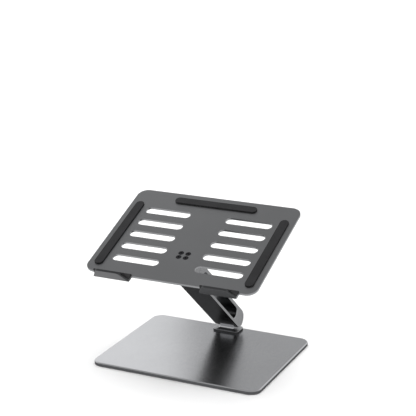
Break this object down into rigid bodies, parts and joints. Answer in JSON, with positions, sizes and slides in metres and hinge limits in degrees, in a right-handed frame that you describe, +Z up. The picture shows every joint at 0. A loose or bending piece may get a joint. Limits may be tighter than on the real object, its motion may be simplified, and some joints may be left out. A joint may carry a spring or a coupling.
{
  "type": "laptop stand",
  "caption": "Adjustable laptop stand: flat weighted base plate, one windowed arm between two friction hinges, and a vented tilting tray with front hooks.",
  "frame": {"origin": "middle of the underside of the mat, on the desk", "axes": "+Z up; +X to the right of the person using the stand; -Y towards that person; the arm is hinged at the back (+Y) and leans forward"},
  "size_m": [0.24, 0.2363, 0.2069],
  "materials": {
    "grey_steel": "satin space-grey finish with a bright bevel round the top edge",
    "grey_anodised": "fine bead-blasted, anodised space grey, with bright cut bevels",
    "black_rubber": "matt black silicone",
    "bronze": "plain turned bronze",
    "bright_steel": "ground steel",
    "dark_screws": "black oxide"
  },
  "bodies": {
    "base": {"base_plate": "grey_steel", "base_mat": "black_rubber", "lower_bracket": "grey_anodised", "lower_bracket_screws": "dark_screws", "lower_hinge_bush": "bronze"},
    "arm": {"arm_profile": "grey_anodised", "lower_pivot_shaft": "bright_steel", "lower_friction_washers": "bright_steel", "lower_disc_springs": "bright_steel", "lower_lock_nut": "bright_steel", "lower_pivot_cap_left": "grey_anodised", "lower_pivot_cap_right": "grey_anodised", "upper_pivot_shaft": "bright_steel", "upper_friction_washers": "bright_steel", "upper_disc_springs": "bright_steel", "upper_lock_nut": "bright_steel", "upper_pivot_cap_left": "grey_anodised", "upper_pivot_cap_right": "grey_anodised"},
    "tray": {"tray_plate": "grey_anodised", "upper_bracket": "grey_anodised", "upper_bracket_screws": "dark_screws", "upper_hinge_bush": "bronze", "hook_pad_left": "black_rubber", "hook_pad_right": "black_rubber", "tray_pad_left": "black_rubber", "tray_pad_right": "black_rubber", "tray_pad_back": "black_rubber"}
  },
  "joints": [
    {"name": "arm_lift", "type": "hinge", "parent": "base", "child": "arm", "pos_m": [0, 0.0875, 0.0241], "axis": [-1, 0, 0], "range_deg": [-19, 41]},
    {"name": "tray_tilt", "type": "hinge", "parent": "arm", "child": "tray", "pos_m": [0, -0.05627, 0.14052], "axis": [1, 0, 0], "range_deg": [-40, 40]}
  ]
}
